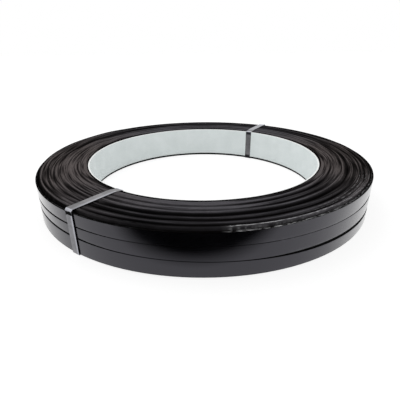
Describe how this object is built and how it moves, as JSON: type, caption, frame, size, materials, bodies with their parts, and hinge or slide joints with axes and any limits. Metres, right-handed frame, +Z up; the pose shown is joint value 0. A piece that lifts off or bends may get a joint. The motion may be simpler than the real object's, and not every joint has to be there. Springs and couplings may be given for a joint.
{
  "type": "steel strapping coil",
  "caption": "Coil of black painted steel strapping wound in lanes on a paperboard core, lying flat and bound with narrow steel straps.",
  "frame": {"origin": "on the coil's axis, at the level floor that the undersides of its binding straps lie on", "axes": "+Z up along the coil's axis, -Y to the front of the coil, +X to its right"},
  "size_m": [0.5744, 0.5744, 0.0659],
  "materials": {
    "black_strip": "satin",
    "grey_board": "matte",
    "bright_strap": "satin"
  },
  "bodies": {
    "root": {"wound_strip": "black_strip", "paperboard_core": "grey_board", "front_strap": "bright_strap", "rear_strap": "bright_strap"}
  },
  "joints": []
}
